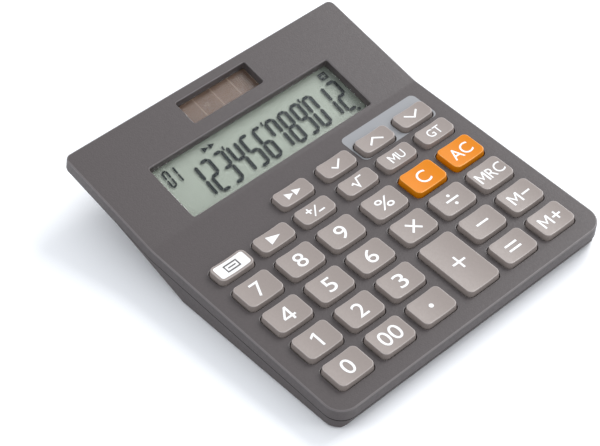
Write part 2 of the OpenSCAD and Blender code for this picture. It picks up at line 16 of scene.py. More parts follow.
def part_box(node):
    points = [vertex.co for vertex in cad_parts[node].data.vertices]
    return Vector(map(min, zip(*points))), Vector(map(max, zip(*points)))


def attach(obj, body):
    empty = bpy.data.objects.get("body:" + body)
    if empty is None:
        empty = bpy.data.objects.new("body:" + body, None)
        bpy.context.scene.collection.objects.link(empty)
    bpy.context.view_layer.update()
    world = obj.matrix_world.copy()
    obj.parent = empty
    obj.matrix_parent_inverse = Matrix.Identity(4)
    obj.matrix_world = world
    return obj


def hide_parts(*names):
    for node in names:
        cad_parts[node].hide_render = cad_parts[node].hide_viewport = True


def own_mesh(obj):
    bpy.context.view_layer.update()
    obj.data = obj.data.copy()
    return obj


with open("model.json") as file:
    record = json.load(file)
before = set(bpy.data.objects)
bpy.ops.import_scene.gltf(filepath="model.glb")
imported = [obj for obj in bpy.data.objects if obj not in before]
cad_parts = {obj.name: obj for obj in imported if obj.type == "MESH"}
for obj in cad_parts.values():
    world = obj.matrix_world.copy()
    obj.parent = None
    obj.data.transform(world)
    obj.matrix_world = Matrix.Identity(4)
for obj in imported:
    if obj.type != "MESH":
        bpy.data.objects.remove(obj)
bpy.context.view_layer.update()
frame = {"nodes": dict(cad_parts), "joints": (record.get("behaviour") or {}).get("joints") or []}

# %% [markdown]
# ## A flat pattern that is bent at the end
# The case is one wide face with a shallow bend between the keypad and the display. It
# could be made from two tilted boxes, but then the bend would be a hard crease and each
# hole would need its own tilt. It is easier to draw the whole face flat, in millimetres,
# and to send every point through one function that rolls it round the bend. Across is
# `x`, along the face from the front edge is `a`, and height above the face is `n`.

# %% The bend
MM = 0.001
PRESS_AXIS = frame["joints"][0]["axis"]
KEYPAD_TILT = math.atan2(abs(PRESS_AXIS[1]), abs(PRESS_AXIS[2]))
DISPLAY_TILT = math.radians(10.75)
KEYPAD_LEN = 91.0
DISPLAY_LEN = 46.3
BEND_HALF = 0.8       # half length of the rounded bend, along the face
BEND_RADIUS = 2 * BEND_HALF / DISPLAY_TILT
BEND_CUTS = 5         # rows of vertices across the bend

case_low, case_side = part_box("top_case_keypad")
case_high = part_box("top_case_display")[1]
CASE_W = (case_side.x - case_low.x) / MM
FRONT_Y = case_low.y / MM
FACE_Z = case_high.z / MM - (KEYPAD_LEN * math.sin(KEYPAD_TILT)
                             + DISPLAY_LEN * math.sin(KEYPAD_TILT + DISPLAY_TILT))


def on_face(x, a, n):
    """A point of the flat pattern, in millimetres, on the bent case, in metres."""
    turn = DISPLAY_TILT * min(max((a - KEYPAD_LEN + BEND_HALF) / (2 * BEND_HALF), 0), 1)
    past = max(a - KEYPAD_LEN - BEND_HALF, 0)
    v = min(a, KEYPAD_LEN - BEND_HALF) + BEND_RADIUS * math.sin(turn)
    w = BEND_RADIUS * (1 - math.cos(turn))
    v += past * math.cos(turn) - n * math.sin(turn)
    w += past * math.sin(turn) + n * math.cos(turn)
    y = FRONT_Y + v * math.cos(KEYPAD_TILT) - w * math.sin(KEYPAD_TILT)
    z = FACE_Z + v * math.sin(KEYPAD_TILT) + w * math.cos(KEYPAD_TILT)
    return Vector((x, y, z)) * MM


def lay_on_face(mesh):
    """Sends every vertex of a flat pattern through the bend."""
    for vertex in mesh.verts:
        vertex.co = on_face(*vertex.co)


print("case width", round(CASE_W, 2), "mm, keypad tilt", round(math.degrees(KEYPAD_TILT), 2))

# %% [markdown]
# ## Rings and lofts
# Moulded parts have soft edges everywhere. A bevel modifier can round a box, but it
# gives the same edge on all sides and it fails where holes are close together. Here a
# part is a stack of rings, each a rectangle with round corners, and the stack is skinned
# with quads. A rounded edge is then only a few more rings, and each edge has its own size.

# %% Rings
def rounded_ring(width, depth, radii, centre=(0, 0), corner=6, side=6):
    """Points round a rectangle with round corners, anticlockwise from the front right.
    radii is one radius, or a pair for the front and rear corners."""
    front, rear = radii if isinstance(radii, tuple) else (radii, radii)
    corners = []
    for sign_x, sign_y, start in ((1, -1, -90), (1, 1, 0), (-1, 1, 90), (-1, -1, 180)):
        r = front if sign_y < 0 else rear
        middle = (sign_x * (width / 2 - r), sign_y * (depth / 2 - r))
        angles = [math.radians(start + 90 * k / corner) for k in range(corner + 1)]
        corners.append([(middle[0] + r * math.cos(t), middle[1] + r * math.sin(t))
                        for t in angles])
    points = []
    for here, after in zip(corners, corners[1:] + corners[:1]):
        points += here
        for k in range(1, side):
            t = k / side
            points.append((here[-1][0] + (after[0][0] - here[-1][0]) * t,
                           here[-1][1] + (after[0][1] - here[-1][1]) * t))
    return [(centre[0] + x, centre[1] + y) for x, y in points]


def round_ring(radius, count):
    """A circle with as many points as a rounded ring, starting in the same direction."""
    start = math.radians(-68)
    return [(radius * math.cos(start + 2 * math.pi * k / count),
             radius * math.sin(start + 2 * math.pi * k / count)) for k in range(count)]


def skin(mesh, rings, painted_highlight=range(0)):
    """Joins a stack of rings of 3-D points with quads, and returns the rings' vertices.
    The bands numbered in the last argument take the piece's second material, a painted highlight."""
    stack = [[mesh.verts.new(point) for point in ring] for ring in rings]
    for band, (low, high) in enumerate(zip(stack, stack[1:])):
        for i in range(len(low)):
            j = (i + 1) % len(low)
            face = mesh.faces.new((low[i], low[j], high[j], high[i]))
            face.material_index = 1 if band in painted_highlight else 0
    return stack


def loop_edges(mesh, loop):
    """The edges that join a ring's vertices into a closed loop."""
    pairs = zip(loop, loop[1:] + loop[:1])
    return [mesh.edges.get(pair) or mesh.edges.new(pair) for pair in pairs]


def face_with_holes(mesh, loops):
    """Fills the space between an outer loop and the holes inside it."""
    edges = [edge for loop in loops for edge in loop_edges(mesh, loop)]
    bmesh.ops.triangle_fill(mesh, use_beauty=True, use_dissolve=False, edges=edges)


print("a plain ring has", len(rounded_ring(1, 1, 0.1)), "points")

# %% [markdown]
# ## From a skin to a finished piece
# Every piece goes through the same last steps: its faces are turned outwards, creases
# are kept where two faces meet at a clear angle, and it is told which body it rides on.
# Weighted normals keep wide flat faces looking flat beside narrow rounded edges, as they
# do on a moulded part.

# %% Finish a piece
CREASE = math.radians(34)


def finish_piece(mesh, name, body, material, weighted=True, painted_highlight=None):
    """Turns a bmesh into an object that rides on a body. Its last argument is its second material,
    a painted highlight for its rounded edges.
    """
    bmesh.ops.remove_doubles(mesh, verts=mesh.verts, dist=1e-7)
    bmesh.ops.recalc_face_normals(mesh, faces=mesh.faces)
    for face in mesh.faces:
        face.smooth = True
    for edge in mesh.edges:
        edge.smooth = len(edge.link_faces) == 2 and edge.calc_face_angle(0) < CREASE
    data = bpy.data.meshes.new(name)
    mesh.to_mesh(data)
    mesh.free()
    piece = bpy.data.objects.new(name, data)
    bpy.context.scene.collection.objects.link(piece)
    data.materials.append(material)
    if painted_highlight:
        data.materials.append(painted_highlight)
    if weighted:
        modifier = piece.modifiers.new("flat faces stay flat", "WEIGHTED_NORMAL")
        modifier.keep_sharp = True
    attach(piece, body)
    return piece


print("edges keep a crease above", round(math.degrees(CREASE)), "degrees")

# %% [markdown]
# ## One finish for all moulded plastic
# Real moulded plastic is never one flat colour. A spark-eroded mould leaves a fine grain,
# the pigment is a little uneven, and handling makes some patches glossier. All plastics
# here share that effect, so it is one node group with named inputs: two close colours
# that are mottled together, the size of the grain and of the mottle, and the range of
# roughness. The shader itself stays in each material, where its own values are set.

# %% The shared finish group
def socket(tree, name, kind, way, value=None):
    made = tree.interface.new_socket(name=name, in_out=way, socket_type=kind)
    if value is not None:
        made.default_value = value


# In a Mix node the colour sockets share their names with the number ones, so the
# colour ones are picked by their type.
def colour_sockets(mix):
    ins = [s for s in mix.inputs if s.type == "RGBA"]
    return ins[0], ins[1], [s for s in mix.outputs if s.type == "RGBA"][0]


def moulded_finish_group():
    tree = bpy.data.node_groups.new("moulded finish", "ShaderNodeTree")
    for name, kind, value in (
            ("Colour", "NodeSocketColor", (0.5, 0.5, 0.5, 1)),
            ("Second Colour", "NodeSocketColor", (0.4, 0.4, 0.4, 1)),
            ("Grain Scale", "NodeSocketFloat", 3000.0),
            ("Mottle Scale", "NodeSocketFloat", 60.0),
            ("Roughness Low", "NodeSocketFloat", 0.4),
            ("Roughness High", "NodeSocketFloat", 0.5)):
        socket(tree, name, kind, "INPUT", value)
    for name, kind in (("Colour", "NodeSocketColor"), ("Roughness", "NodeSocketFloat"),
                       ("Height", "NodeSocketFloat")):
        socket(tree, name, kind, "OUTPUT")
    nodes, links = tree.nodes, tree.links
    given, made = nodes.new("NodeGroupInput"), nodes.new("NodeGroupOutput")
    place = nodes.new("ShaderNodeTexCoord")
    grain, mottle = nodes.new("ShaderNodeTexNoise"), nodes.new("ShaderNodeTexNoise")
    grain.inputs["Detail"].default_value = 3.0
    mottle.inputs["Detail"].default_value = 4.0
    mix = nodes.new("ShaderNodeMix")
    mix.data_type = "RGBA"
    spread = nodes.new("ShaderNodeMapRange")
    spread.inputs["From Min"].default_value = 0.3
    spread.inputs["From Max"].default_value = 0.7
    for noise, scale in ((grain, "Grain Scale"), (mottle, "Mottle Scale")):
        links.new(place.outputs["Object"], noise.inputs["Vector"])
        links.new(given.outputs[scale], noise.inputs["Scale"])
    links.new(mottle.outputs["Fac"], mix.inputs["Factor"])
    first, second, mixed = colour_sockets(mix)
    links.new(given.outputs["Colour"], first)
    links.new(given.outputs["Second Colour"], second)
    links.new(mottle.outputs["Fac"], spread.inputs["Value"])
    links.new(given.outputs["Roughness Low"], spread.inputs["To Min"])
    links.new(given.outputs["Roughness High"], spread.inputs["To Max"])
    links.new(mixed, made.inputs["Colour"])
    links.new(spread.outputs["Result"], made.inputs["Roughness"])
    links.new(grain.outputs["Fac"], made.inputs["Height"])
    return tree


FINISH = moulded_finish_group()
print("shared group:", FINISH.name, "with", len(FINISH.nodes), "nodes")

# %% [markdown]
# ## Mixing the plastics, metals and prints
# Each real finish gets one material with its own numbers: how far its two tones differ,
# how coarse its grain is, how deep the grain stands and how shiny it is. Each moulded
# plastic has a second mix for its rounded edges: the lower roughness there is real, and the
# paler colour is a painted highlight. Colours are typed as on a screen and changed to linear
# values.

# %% Materials from the shared finish
def linear(*screen):
    """A colour as seen on a screen, 0 to 255, as linear values for a shader."""
    parts = [c / 255 for c in screen]
    return tuple(p / 12.92 if p <= 0.04045 else ((p + 0.055) / 1.055) ** 2.4
                 for p in parts) + (1.0,)


GRAIN_HEIGHT = 0.00005  # metres


def finish_material(name, colour, tone=0.92, grain=3000.0, mottle=60.0,
                    rough=(0.42, 0.5), depth=0.15, metallic=0.0, coat=0.0, shine=0.5):
    """A material that places the shared finish with its own values."""
    material = bpy.data.materials.new(name)
    material.use_nodes = True
    nodes, links = material.node_tree.nodes, material.node_tree.links
    shader = nodes["Principled BSDF"]
    finish = nodes.new("ShaderNodeGroup")
    finish.node_tree = FINISH
    base = linear(*colour)
    finish.inputs["Colour"].default_value = base
    finish.inputs["Second Colour"].default_value = tuple(c * tone for c in base[:3]) + (1.0,)
    finish.inputs["Grain Scale"].default_value = grain
    finish.inputs["Mottle Scale"].default_value = mottle
    finish.inputs["Roughness Low"].default_value = rough[0]
    finish.inputs["Roughness High"].default_value = rough[1]
    bump = nodes.new("ShaderNodeBump")
    bump.inputs["Strength"].default_value = depth
    bump.inputs["Distance"].default_value = GRAIN_HEIGHT
    links.new(finish.outputs["Colour"], shader.inputs["Base Color"])
    links.new(finish.outputs["Roughness"], shader.inputs["Roughness"])
    links.new(finish.outputs["Height"], bump.inputs["Height"])
    links.new(bump.outputs["Normal"], shader.inputs["Normal"])
    shader.inputs["Metallic"].default_value = metallic
    shader.inputs["Coat Weight"].default_value = coat
    shader.inputs["Specular IOR Level"].default_value = shine
    return material


CASE = finish_material("case plastic", (80, 74, 74), tone=0.8, grain=1900.0, mottle=1000.0,
                       rough=(0.4, 0.48), depth=1.0, shine=0.3)
# Each second mix below is a painted highlight for rounded edges: a paler colour, with a lower
# roughness that is real.
CASE_PAINTED_HIGHLIGHT = finish_material("case plastic, painted edge highlight", (102, 96, 96), tone=0.85,
                            mottle=400.0, rough=(0.28, 0.36), depth=0.2)
GREY_KEY = finish_material("grey key plastic", (143, 133, 128), tone=0.9, grain=2200.0,
                           mottle=1100.0, rough=(0.36, 0.44), depth=0.5, shine=0.35)
GREY_KEY_PAINTED_HIGHLIGHT = finish_material("grey key plastic, painted edge highlight", (160, 151, 147), tone=0.9,
                                mottle=400.0, rough=(0.26, 0.34), depth=0.1)
ORANGE_KEY = finish_material("orange key plastic", (206, 120, 0), tone=0.95, grain=2200.0,
                             mottle=300.0, rough=(0.36, 0.44), depth=0.35, shine=0.2)
ORANGE_KEY_PAINTED_HIGHLIGHT = finish_material("orange key plastic, painted edge highlight", (222, 142, 40), tone=0.95,
                                  mottle=400.0, rough=(0.26, 0.34), depth=0.1)
WHITE_PRINT = finish_material("white print", (226, 226, 226), tone=0.97, rough=(0.4, 0.5))
GREY_PRINT = finish_material("grey print", (92, 88, 87), tone=0.95, rough=(0.4, 0.5))
LABEL = finish_material("label film", (136, 137, 140), tone=0.95, rough=(0.34, 0.42), depth=0.08)
SEGMENT = finish_material("display segment", (14, 24, 26), tone=0.9, rough=(0.5, 0.55), shine=0.1)
print("mixed", len(bpy.data.materials), "materials so far")

# %% [markdown]
# ## The top half of the case
# It is one moulding, held in the frame as two nodes that meet at the bend: a face 1.8 mm
# thick with an opening for each key and two windows, and a wall that runs down to the
# parting line. It could be cut with booleans, but a boolean leaves sharp rims. Instead
# the outside is a stack of rings, every opening is another stack, and two flat faces
# with holes join them, above and below. The openings take their places from the key
# nodes' own boxes.

# %% Where the keys are
KEY_NODES = sorted(name for name in frame["nodes"] if name.startswith("key_")
                   and name != "key_membrane")
FACE_T = 1.8          # thickness of the case's face
KEY_FLANGE = 0.8      # the stop flange round a key, and its thickness
KEY_LEAN = 0.2        # how far a key's foot stands out beyond its top
KEY_GAP = 0.35        # between a key and its opening
KEY_RISE = 2.2        # height of a key above the face
KEY_R = 2.0
FLANGE_LOW = -2.8     # underside of the flange, below the face


def key_place(name):
    """A key's middle on the flat pattern and the width and depth of its top."""
    low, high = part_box(name)
    slant, level = math.sin(KEYPAD_TILT), math.cos(KEYPAD_TILT)
    flange_mid = -FLANGE_LOW - KEY_FLANGE / 2
    middle_y = (low.y + high.y) / 2 / MM - FRONT_Y - flange_mid * slant
    spare = 2 * (KEY_FLANGE + KEY_LEAN)
    width = (high.x - low.x) / MM - spare
    depth = ((high.y - low.y) / MM - KEY_FLANGE * slant) / level - spare
    return (low.x + high.x) / 2 / MM, middle_y / level, width, depth


PLACES = {name: key_place(name) for name in KEY_NODES}
for name in ("key_0", "key_plus", "key_step_up"):
    print(name, "at", [round(v, 2) for v in PLACES[name]])

# %% [markdown]
# The rim of each opening is rounded by only a quarter of a millimetre, which catches the
# thin line of light round every key, and the rounded bands carry a painted highlight too.
# The display's opening has a straight chamfer instead, also with a painted highlight, and
# both windows run on down as a deep frame below the face.

# %% Skin the top case
CASE_LEN = KEYPAD_LEN + DISPLAY_LEN
CORNERS = (7.0, 2.5)  # front and rear corners of the case
WALL_H = 5.0
WALL_T = 1.8
EDGE_R = 0.5          # rounding of the case's upper edge
RIM_R = 0.25          # rounding of a key opening
FOOT_R = 0.2          # small bevel at the parting line
ARC_STEPS = 4
LCD = {"s": 13.8, "w": 82.8, "d": 24.2, "deep": 3.9, "chamfer": 0.4, "r": 0.8}
SOLAR = {"s": 36.9, "w": 32.2, "d": 10.8, "deep": 3.8, "chamfer": 0.3, "r": 0.8}
RIB_T = 1.2
GAP_H, GAP_T, GAP_SET_BACK = 0.55, 0.5, 0.22
MIN_CORNER = 0.3
# The dark gap material is painted shade: the parting line is only in shade, and a dark band stands
# for it.
PAINTED_GAP_SHADE = finish_material("painted shade in parting gap", (30, 27, 27), rough=(0.7, 0.8), shine=0.1)


def case_ring(inset, height):
    radii = tuple(max(r - inset, MIN_CORNER) for r in CORNERS)
    flat = rounded_ring(CASE_W - 2 * inset, CASE_LEN - 2 * inset, radii,
                        (0, CASE_LEN / 2), corner=10, side=1)
    return [(x, a, height) for x, a in flat]


def opening_ring(place, grow, height, corner=6):
    x, a, width, depth, r = place
    flat = rounded_ring(width + 2 * grow, depth + 2 * grow, r + grow, (x, a), corner, 1)
    return [(px, pa, height) for px, pa in flat]


def arc(steps=ARC_STEPS):
    """Pairs (across, down) of a quarter round, from the flat to the wall."""
    angles = [math.pi / 2 * k / steps for k in range(steps + 1)]
    return [(1 - math.sin(t), 1 - math.cos(t)) for t in angles]


def cut_across(mesh, at, way):
    """Cuts a mesh through at a place, so that it has vertices there."""
    bmesh.ops.bisect_plane(mesh, geom=mesh.verts[:] + mesh.edges[:] + mesh.faces[:],
                           dist=1e-5, plane_co=at, plane_no=way)


def bend(mesh):
    """Cuts a flat pattern where it bends, and bends it."""
    for k in range(BEND_CUTS):
        cut = KEYPAD_LEN - BEND_HALF + 2 * BEND_HALF * k / (BEND_CUTS - 1)
        cut_across(mesh, (0, cut, 0), (0, 1, 0))
    lay_on_face(mesh)


def top_case_mesh():
    mesh = bmesh.new()
    rings = [case_ring(EDGE_R * u, -EDGE_R * v) for u, v in arc()]
    rings += [case_ring(0, -WALL_H + FOOT_R), case_ring(FOOT_R, -WALL_H),
              case_ring(WALL_T, -WALL_H), case_ring(WALL_T, -FACE_T)]
    # The rounded upper edge takes the paler second material: a painted highlight.
    outside = skin(mesh, rings, painted_highlight=range(ARC_STEPS))
    upper, lower = [outside[0]], [outside[-1]]
    for name in KEY_NODES:
        x, a, width, depth = PLACES[name]
        spare = 2 * (KEY_LEAN + KEY_GAP)
        place = (x, a, width + spare, depth + spare, KEY_R + KEY_GAP)
        # Each opening's rounded rim, and each window's chamfer, take the painted highlight too.
        stack = [opening_ring(place, RIM_R * u, -RIM_R * v) for u, v in arc()]
        wall = skin(mesh, stack + [opening_ring(place, 0, -FACE_T)], painted_highlight=range(ARC_STEPS))
        upper.append(wall[0])
        lower.append(wall[-1])
    for window in (LCD, SOLAR):
        place = (0, KEYPAD_LEN + window["s"], window["w"], window["d"], window["r"])
        wall = skin(mesh, [
            opening_ring(place, window["chamfer"], 0),
            opening_ring(place, 0, -window["chamfer"]),
            opening_ring(place, 0, -window["deep"]),
            opening_ring(place, RIB_T, -window["deep"]),
            opening_ring(place, RIB_T, -FACE_T)], painted_highlight=range(1))
        upper.append(wall[0])
        lower.append(wall[-1])
    face_with_holes(mesh, upper)
    face_with_holes(mesh, lower)
    bend(mesh)
    return mesh


def painted_gap_shade_mesh():
    """A dark band set back under the case top, where the two halves of the case meet: painted
    shade for the parting line.
    """
    mesh = bmesh.new()
    levels = (-WALL_H, -WALL_H - GAP_H)
    rings = [case_ring(inset, n) for inset, n in (
        (GAP_SET_BACK, levels[0]), (GAP_SET_BACK, levels[1]),
        (GAP_SET_BACK + GAP_T, levels[1]), (GAP_SET_BACK + GAP_T, levels[0]))]
    stack = skin(mesh, rings + rings[:1])
    bend(mesh)
    return mesh


# The dark band is painted shade under the lip of the case top.
finish_piece(painted_gap_shade_mesh(), "painted_gap_shade", "case", PAINTED_GAP_SHADE, weighted=False)
top = finish_piece(top_case_mesh(), "case_top", "case", CASE,
                   painted_highlight=CASE_PAINTED_HIGHLIGHT)
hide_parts("top_case_keypad", "top_case_display")
print("case top:", len(top.data.polygons), "faces")

# %% [markdown]
# ## Keys that are hollow, dished and spring back
# A key is a hollow cap with a flange that stops it under the face and a boss that presses
# the rubber dome. Its top is dished from side to side so that a finger finds the middle.
# A scaled cube would miss all of that. One stack of rings goes from the boss, up inside,
# down to the flange, up the side, round the edge and in to the middle of the top.

# %% Key caps
DISH = 0.55           # how much lower the middle of a key is than its sides
KEY_EDGE = 0.32       # rounding of a key's upper edge
CAVITY_TOP = 0.6
KEY_WALL = 1.2
BOSS_R = 2.2
SKIRT_TOP = -0.2
CAVITY_R = 0.8
TOP_RINGS = (0.86, 0.72, 0.58, 0.44, 0.3, 0.16, 0.05)


def top_height(x, width):
    """Height of a dished key above the face, at x from its middle."""
    return KEY_RISE - DISH * (1 - min(abs(2 * x / width), 1) ** 2)


def key_cap_mesh(name):
    key_x, key_a, width, depth = PLACES[name]
    mesh = bmesh.new()
    neck_w, neck_d = width + 2 * KEY_LEAN, depth + 2 * KEY_LEAN
    rings = []

    def add(flat, height):
        level = height if callable(height) else lambda x: height
        rings.append([on_face(key_x + x, key_a + a, level(x)) for x, a in flat])

    count = len(rounded_ring(1, 1, 0.1))
    add(round_ring(BOSS_R, count), FLANGE_LOW)
    add(round_ring(BOSS_R, count), CAVITY_TOP)
    cavity = rounded_ring(width - 2 * KEY_WALL, depth - 2 * KEY_WALL, CAVITY_R)
    add(cavity, CAVITY_TOP)
    add(cavity, FLANGE_LOW)
    flange = rounded_ring(neck_w + 2 * KEY_FLANGE, neck_d + 2 * KEY_FLANGE, KEY_R + KEY_FLANGE)
    add(flange, FLANGE_LOW)
    add(flange, FLANGE_LOW + KEY_FLANGE)
    add(rounded_ring(neck_w, neck_d, KEY_R), FLANGE_LOW + KEY_FLANGE)
    add(rounded_ring(neck_w, neck_d, KEY_R), SKIRT_TOP)
    edge_from = len(rings)
    for u, v in reversed(arc()):
        inset = KEY_EDGE * u
        add(rounded_ring(width - 2 * inset, depth - 2 * inset, KEY_R - inset),
            lambda x, v=v: top_height(x, width) - KEY_EDGE * v)
    for share in TOP_RINGS:
        w, d = (width - 2 * KEY_EDGE) * share, (depth - 2 * KEY_EDGE) * share
        add(rounded_ring(w, d, (KEY_R - KEY_EDGE) * share), lambda x: top_height(x, width))
    # The rounded upper edge of a key takes its paler second material: a painted highlight.
    stack = skin(mesh, rings, painted_highlight=range(edge_from + 1, edge_from + ARC_STEPS))
    mesh.faces.new(stack[0])
    mesh.faces.new(stack[-1])
    return mesh


for name in KEY_NODES:
    orange = name in ("key_clear", "key_all_clear")
    cap = finish_piece(key_cap_mesh(name), name.replace("key_", "cap_"), name,
                       ORANGE_KEY if orange else GREY_KEY,
                       painted_highlight=ORANGE_KEY_PAINTED_HIGHLIGHT if orange else GREY_KEY_PAINTED_HIGHLIGHT)
    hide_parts(name)
print("made", len(KEY_NODES), "key caps")

# %% [markdown]
# ## The rubber sheet and its domes
# Under the keys lies one sheet of silicone with a dome for each key. A pressed key folds
# its dome flat, and the dome pushes it back up. A rigid dome would be in the key's way.
# So the sheet is a flat plate with round openings, and each dome is a piece of its own.

# %% Sheet and domes
SHEET_RUBBER = finish_material("membrane rubber", (176, 176, 170), rough=(0.6, 0.75))
DOME_TOP = FLANGE_LOW - 0.1
DOME_H, DOME_ROOT_R, DOME_TOP_R = 1.7, 3.4, 2.2
HOLLOW_ROOT_R, HOLLOW_TOP_R, DOME_ROOF = 2.7, 1.6, 0.7
SHEET_TOP = DOME_TOP - DOME_H
SHEET_T, SHEET_R = 0.8, 2.0
SHEET_FRONT, SHEET_REAR = 4.5, 83.5
DOME_POINTS = 24


def dome_mesh(x, a):
    mesh = bmesh.new()
    profile = ((HOLLOW_TOP_R, DOME_TOP - DOME_ROOF), (HOLLOW_ROOT_R, SHEET_TOP),
               (DOME_ROOT_R, SHEET_TOP), (DOME_TOP_R, DOME_TOP))
    stack = skin(mesh, [[on_face(x + px, a + py, n) for px, py in round_ring(r, DOME_POINTS)]
                        for r, n in profile])
    mesh.faces.new(stack[0])
    mesh.faces.new(stack[-1])
    return mesh


def sheet_mesh():
    mesh = bmesh.new()
    low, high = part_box("key_membrane")
    edge = (0, (SHEET_FRONT + SHEET_REAR) / 2, (high.x - low.x) / MM, SHEET_REAR - SHEET_FRONT,
            SHEET_R)
    stacks = [skin(mesh, [opening_ring(edge, 0, SHEET_TOP - t) for t in (0, SHEET_T)])]
    for x, a, _, _ in PLACES.values():
        stacks.append(skin(mesh, [[(x + px, a + py, SHEET_TOP - t) for px, py
                                   in round_ring(HOLLOW_ROOT_R, DOME_POINTS)]
                                  for t in (0, SHEET_T)]))
    face_with_holes(mesh, [stack[0] for stack in stacks])
    face_with_holes(mesh, [stack[-1] for stack in stacks])
    lay_on_face(mesh)
    return mesh


sheet = finish_piece(sheet_mesh(), "membrane_sheet", "case", SHEET_RUBBER)
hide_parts("key_membrane")
for name, (x, a, _, _) in PLACES.items():
    dome = finish_piece(dome_mesh(x, a), name.replace("key_", "dome_"), "case", SHEET_RUBBER)
    tuple(on_face(x, a, SHEET_TOP))
    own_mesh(dome)
print("sheet with", len(PLACES), "domes")

# %% [markdown]
# ## Printed marks
# The marks are pad-printed ink with a real edge, so they are very thin solids and not a
# texture. The digits and letters are text turned into mesh; the signs are drawn as plain
# polygons. Both are laid on the dish: each point takes the height of the key under it.

# %% Ink on a key
INK_T = 0.03          # how far the ink stands above the key
INK_ROOT = 0.14       # how far it reaches into the key


def lay_ink(mesh_2d, name, key, material, shift=0, rise=INK_T):
    """Makes a flat drawing in millimetres into a thin solid on a key's dished top.
    shift moves it across the key, and rise is how far it stands out."""
    key_x, key_a, width, _ = PLACES[key]
    solid = bmesh.new()
    tops = {}
    for face in mesh_2d.faces:
        corners = []
        for vertex in face.verts:
            if vertex.index not in tops:
                x, a = vertex.co.x + shift, vertex.co.y
                height = top_height(x, width)
                tops[vertex.index] = tuple(
                    solid.verts.new(on_face(key_x + x, key_a + a, height + level))
                    for level in (rise, -INK_ROOT))
            corners.append(tops[vertex.index])
        solid.faces.new([c[0] for c in corners])
        solid.faces.new([c[1] for c in reversed(corners)])
    for edge in mesh_2d.edges:
        if len(edge.link_faces) == 1:
            a, b = (tops[v.index] for v in edge.verts)
            solid.faces.new((a[0], b[0], b[1], a[1]))
    mesh_2d.free()
    return finish_piece(solid, name, key, material, weighted=False)


def drawing(polygons):
    """A flat drawing from closed outlines that don't overlap."""
    mesh = bmesh.new()
    for outline in polygons:
        mesh.faces.new([mesh.verts.new((x, y, 0)) for x, y in outline])
    mesh.normal_update()
    bmesh.ops.triangulate(mesh, faces=mesh.faces)
    mesh.verts.index_update()
    return mesh


def lettering(text, height, width, weight):
    """A flat drawing of text, scaled to a height and width in millimetres."""
    curve = bpy.data.curves.new("lettering", "FONT")
    curve.body = text
    curve.offset = weight
    curve.resolution_u = 5
    carrier = bpy.data.objects.new("lettering", curve)
    bpy.context.scene.collection.objects.link(carrier)
    data = bpy.data.meshes.new_from_object(
        carrier.evaluated_get(bpy.context.evaluated_depsgraph_get()))
    bpy.data.objects.remove(carrier)
    bpy.data.curves.remove(curve)
    mesh = bmesh.new()
    mesh.from_mesh(data)
    bpy.data.meshes.remove(data)
    bmesh.ops.remove_doubles(mesh, verts=mesh.verts, dist=1e-5)
    xs = [v.co.x for v in mesh.verts]
    ys = [v.co.y for v in mesh.verts]
    for v in mesh.verts:
        v.co.x = (v.co.x - (min(xs) + max(xs)) / 2) * width / (max(xs) - min(xs))
        v.co.y = (v.co.y - (min(ys) + max(ys)) / 2) * height / (max(ys) - min(ys))
        v.co.z = 0
    mesh.verts.index_update()
    return mesh


print("ink stands", INK_T, "mm out of a key and reaches", INK_ROOT, "mm into it")

# %% [markdown]
# The sizes below are those of the printed marks in millimetres: height, then width, and
# where the middle of the text stands on its key. The font is thickened a little, and that
# spoils "1", "4" and a capital "M": their corners fill up. Those are drawn as outlines later.

# %% Digits and letters
LETTERS = {
    "key_0": ("0", 5.9, 4.1, 0), "key_00": ("00", 5.9, 8.6, 0), "key_2": ("2", 5.9, 4.0, 0),
    "key_3": ("3", 5.9, 4.0, 0), "key_5": ("5", 5.9, 4.0, 0), "key_6": ("6", 5.9, 4.1, 0),
    "key_7": ("7", 5.9, 3.9, 0), "key_8": ("8", 5.9, 4.1, 0), "key_9": ("9", 5.9, 4.1, 0),
    "key_percent": ("%", 5.2, 6.2, 0), "key_clear": ("C", 5.6, 4.8, 0),
    "key_all_clear": ("AC", 5.0, 9.0, 0), "key_memory_recall": ("RC", 4.6, 6.9, 2.55),
    "key_mark_up": ("U", 3.6, 2.7, 2.05), "key_grand_total": ("GT", 3.6, 6.2, 0)}
LETTER_WEIGHT = 0.0015

for key, (text, height, width, shift) in LETTERS.items():
    lay_ink(lettering(text, height, width, LETTER_WEIGHT), key.replace("key_", "mark_"), key,
            WHITE_PRINT, shift)
print("printed", len(LETTERS), "lettered keys")


# %% [markdown]
# ## Signs
# The arithmetic signs and arrows are only bars, dots and folded strokes. Three helpers
# draw them all: a bar, a dot, and a stroke that follows a bent line with a constant width.

# %% Bars, dots and strokes
def bar(x, y, width, height):
    return [(x - width / 2, y - height / 2), (x + width / 2, y - height / 2),
            (x + width / 2, y + height / 2), (x - width / 2, y + height / 2)]


def dot(x, y, radius, sides=24):
    return [(x + radius * math.cos(2 * math.pi * k / sides),
             y + radius * math.sin(2 * math.pi * k / sides)) for k in range(sides)]


def stroke(points, width):
    """The outline of a bent line, with mitred corners."""
    points = [Vector(p) for p in points]
    left, right = [], []
    for i, point in enumerate(points):
        ways = [(b - a).normalized() for a, b in zip(points, points[1:])][max(i - 1, 0):i + 1]
        along = sum(ways, Vector((0, 0))).normalized()
        across = Vector((-along.y, along.x))
        reach = width / 2 / max(across.dot(Vector((-ways[0].y, ways[0].x))), 0.3)
        left.append(tuple(point + across * reach))
        right.append(tuple(point - across * reach))
    return left + right[::-1]


def plus(x, y, size, width):
    s, t = size / 2, width / 2
    corners = [(s, -t), (s, t), (t, t), (t, s), (-t, s), (-t, t),
               (-s, t), (-s, -t), (-t, -t), (-t, -s), (t, -s), (t, -t)]
    return [(x + cx, y + cy) for cx, cy in corners]


def turned(outline, degrees):
    c, s = math.cos(math.radians(degrees)), math.sin(math.radians(degrees))
    return [(x * c - y * s, x * s + y * c) for x, y in outline]


